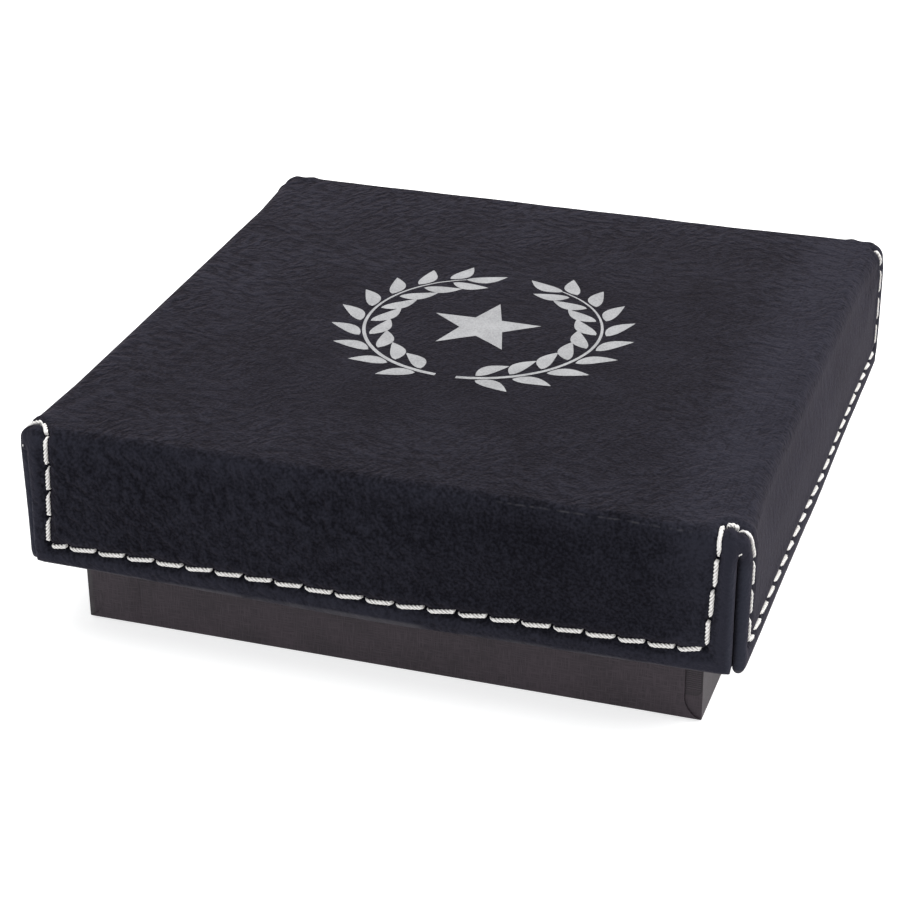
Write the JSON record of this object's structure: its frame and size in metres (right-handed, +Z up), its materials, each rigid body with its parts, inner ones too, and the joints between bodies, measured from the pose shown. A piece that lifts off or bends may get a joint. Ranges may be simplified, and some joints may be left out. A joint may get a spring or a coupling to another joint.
{
  "type": "medal box",
  "caption": "Square presentation box for a medal: stitched leatherette lift-off lid over a paper-wrapped base with a die-cut foam bed whose press-out pieces lift out.",
  "frame": {"origin": "centre of the underside, where the box rests", "axes": "+Z up, the way the lid lifts; the front of the box faces -Y; +X to the right seen from the front"},
  "size_m": [0.1024, 0.1024, 0.0324],
  "materials": {
    "leatherette": "matte fine-grained leatherette, black",
    "thread": "twisted off-white thread",
    "greyboard": "raw greyboard",
    "kraft_paper": "brown stay paper",
    "black_paper": "matte black covering paper",
    "linen_paper": "black paper embossed with a linen weave",
    "foam": "black closed-cell foam"
  },
  "bodies": {
    "base": {"base_board": "greyboard", "base_wrap": "linen_paper", "foam_pad": "foam", "foam_insert": "foam", "base_corner_stay_front_left": "kraft_paper", "base_corner_stay_front_right": "kraft_paper", "base_corner_stay_back_right": "kraft_paper", "base_corner_stay_back_left": "kraft_paper"},
    "lid": {"lid_cover": "leatherette", "lid_stitching": "thread", "lid_board": "greyboard", "lid_wrap": "black_paper", "lid_liner": "black_paper", "lid_corner_stay_front_left": "kraft_paper", "lid_corner_stay_front_right": "kraft_paper", "lid_corner_stay_back_right": "kraft_paper", "lid_corner_stay_back_left": "kraft_paper"},
    "plug_38": {"foam_plug_38mm": "foam"},
    "ring_51": {"foam_ring_51mm": "foam"},
    "ring_57": {"foam_ring_57mm": "foam"},
    "ring_64": {"foam_ring_64mm": "foam"},
    "ring_70": {"foam_ring_70mm": "foam"}
  },
  "joints": [
    {"name": "lid_lift", "type": "slide", "parent": "base", "child": "lid", "axis": [0, 0, 1], "range_m": [0, 0.06]},
    {"name": "plug_38_lift", "type": "slide", "parent": "base", "child": "plug_38", "axis": [0, 0, 1], "range_m": [0, 0.007]},
    {"name": "ring_51_lift", "type": "slide", "parent": "base", "child": "ring_51", "axis": [0, 0, 1], "range_m": [0, 0.007]},
    {"name": "ring_57_lift", "type": "slide", "parent": "base", "child": "ring_57", "axis": [0, 0, 1], "range_m": [0, 0.007]},
    {"name": "ring_64_lift", "type": "slide", "parent": "base", "child": "ring_64", "axis": [0, 0, 1], "range_m": [0, 0.007]},
    {"name": "ring_70_lift", "type": "slide", "parent": "base", "child": "ring_70", "axis": [0, 0, 1], "range_m": [0, 0.007]}
  ]
}
